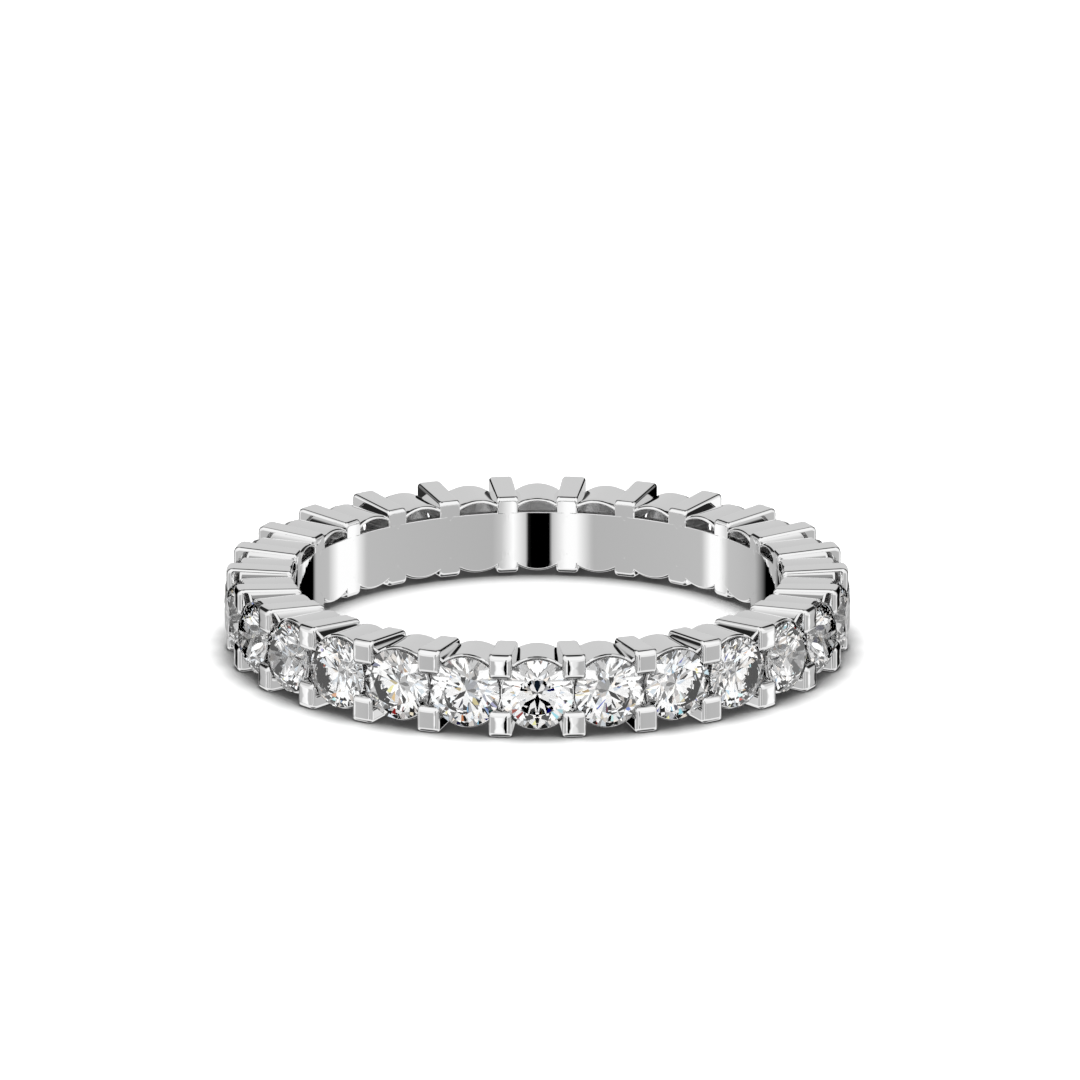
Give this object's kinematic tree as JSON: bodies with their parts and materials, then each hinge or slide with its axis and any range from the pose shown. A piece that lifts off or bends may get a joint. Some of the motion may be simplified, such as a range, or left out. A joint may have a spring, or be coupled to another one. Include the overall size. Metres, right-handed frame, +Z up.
{
  "type": "eternity ring",
  "caption": "Full eternity ring with round brilliants all the way round, each in a short round collet and held by shared square prong bars.",
  "frame": {"origin": "middle of the finger hole, on the surface that the ring lies on", "axes": "+Z up along the axis of the finger hole; -Y towards the viewer, through the middle of the front stone; +X to the viewer's right"},
  "size_m": [0.0216, 0.0216, 0.003],
  "materials": {
    "white_gold": "mirror polished",
    "diamond": "polished facets"
  },
  "bodies": {
    "root": {"ring_mount": "white_gold", "stone_01": "diamond", "stone_02": "diamond", "stone_03": "diamond", "stone_04": "diamond", "stone_05": "diamond", "stone_06": "diamond", "stone_07": "diamond", "stone_08": "diamond", "stone_09": "diamond", "stone_10": "diamond", "stone_11": "diamond", "stone_12": "diamond", "stone_13": "diamond", "stone_14": "diamond", "stone_15": "diamond", "stone_16": "diamond", "stone_17": "diamond", "stone_18": "diamond", "stone_19": "diamond", "stone_20": "diamond", "stone_21": "diamond", "stone_22": "diamond", "stone_23": "diamond", "stone_24": "diamond", "stone_25": "diamond", "stone_26": "diamond"}
  },
  "joints": []
}
